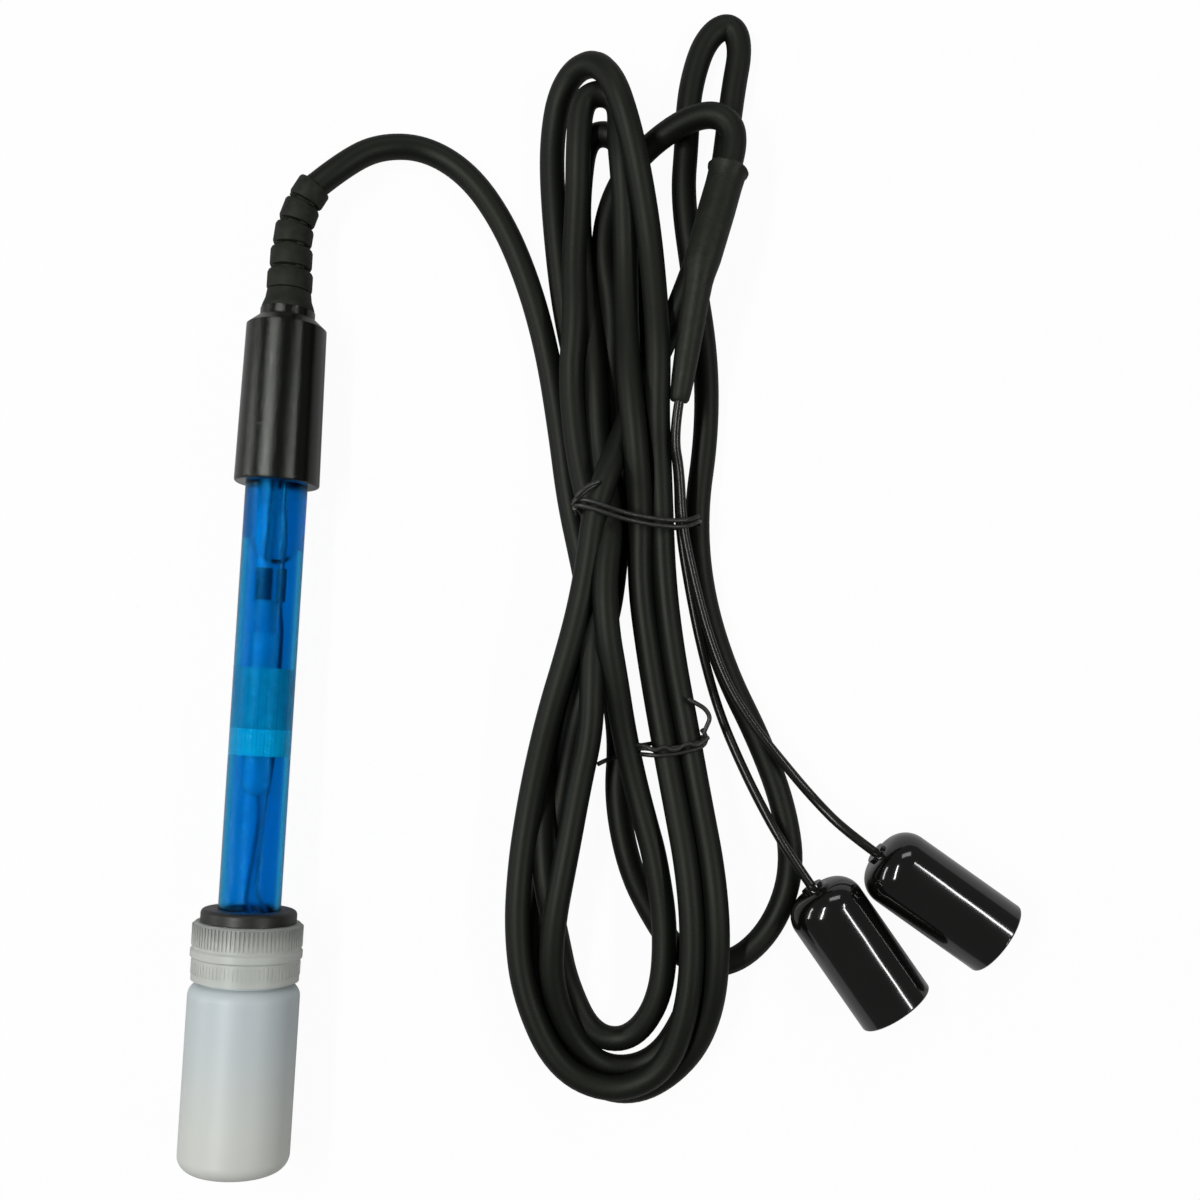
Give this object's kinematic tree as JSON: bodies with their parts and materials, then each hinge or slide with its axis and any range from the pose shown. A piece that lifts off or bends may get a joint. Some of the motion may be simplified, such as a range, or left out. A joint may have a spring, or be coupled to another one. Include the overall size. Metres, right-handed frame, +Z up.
{
  "type": "ph electrode",
  "caption": "Combination pH electrode with a slim clear shaft, black ribbed head, storage bottle on its tip and a tied cable with booted connectors.",
  "frame": {"origin": "on the floor, under the middle of the electrode and its storage bottle, as it lies on its side", "axes": "+Y along the shaft towards the head, +X towards the cable, +Z up"},
  "size_m": [0.1618, 0.2336, 0.0223],
  "materials": {
    "shaft_blue": "clear blue, polished",
    "head_black": "satin moulding",
    "relief_rubber": "matte, slightly dusty",
    "jacket_black": "satin jacket",
    "lead_black": "glossy jacket",
    "core_white": "insulated core",
    "wire_metal": "drawn wire",
    "wire_dark": "insulated wire",
    "sleeve_dark": "shrink sleeving",
    "splice_black": "shrink sleeving",
    "collar_grey": "matte",
    "cartridge_glass": "clear",
    "bulb_glass": "clear blown glass",
    "ceramic_white": "porous",
    "sensor_metal": "polished",
    "seal_dark": "matte",
    "foam_pale": "porous foam",
    "resin_clear": "cast clear resin",
    "grommet_black": "satin rubber",
    "washer_clear": "satin rubber",
    "cap_translucent": "milky, satin",
    "bottle_milky": "milky, satin",
    "tie_black": "satin",
    "boot_black": "polished",
    "connector_metal": "plated",
    "insulator_white": "matte",
    "pin_gold": "plated"
  },
  "bodies": {
    "electrode": {"body_tube": "shaft_blue", "head_cap": "head_black", "strain_relief": "relief_rubber", "cable_inner": "jacket_black", "cable_lead": "jacket_black", "cable_loop": "jacket_black", "cable_tail": "jacket_black", "cable_hank": "jacket_black", "lead_a": "lead_black", "lead_b": "lead_black", "core_lead": "core_white", "shield_lead": "wire_metal", "measuring_wire": "wire_metal", "sensor_wire": "wire_metal", "reference_wire": "wire_metal", "sensor_lead": "wire_dark", "measuring_splice": "sleeve_dark", "sensor_splice": "sleeve_dark", "splice_sleeve": "splice_black", "splice_taper": "splice_black", "cartridge_collar": "collar_grey", "reference_cartridge": "cartridge_glass", "measuring_glass": "bulb_glass", "junction": "ceramic_white", "temperature_sensor": "sensor_metal", "seal_plug": "seal_dark", "end_plug": "seal_dark", "stem_cap": "seal_dark", "foam_plug": "foam_pale", "potting_plug": "resin_clear", "upper_tie": "tie_black", "lower_tie": "tie_black", "boot_a": "boot_black", "boot_b": "boot_black", "connector_shell_a": "connector_metal", "connector_shell_b": "connector_metal", "connector_insulator_a": "insulator_white", "connector_insulator_b": "insulator_white", "connector_pin_a": "pin_gold", "connector_pin_b": "pin_gold"},
    "seal": {"shaft_grommet": "grommet_black", "seal_washer": "washer_clear"},
    "cap": {"bottle_cap": "cap_translucent"},
    "bottle": {"storage_bottle": "bottle_milky"}
  },
  "joints": [
    {"name": "seal_slide", "type": "slide", "parent": "electrode", "child": "seal", "axis": [0, -0.9997, 0.0225], "range_m": [-0.011, 0.045]},
    {"name": "cap_turn", "type": "hinge", "parent": "seal", "child": "cap", "pos_m": [0, -0.08398, 0.01135], "axis": [0, 0.9997, -0.0225], "range_deg": [0, 1080]},
    {"name": "bottle_out", "type": "slide", "parent": "seal", "child": "bottle", "axis": [0, -0.9997, 0.0225], "range_m": [0, 0.0091]}
  ],
  "couplings": [
    {"joint": "bottle_out", "follows": "cap_turn", "m_per_rad": 0.00047746}
  ]
}
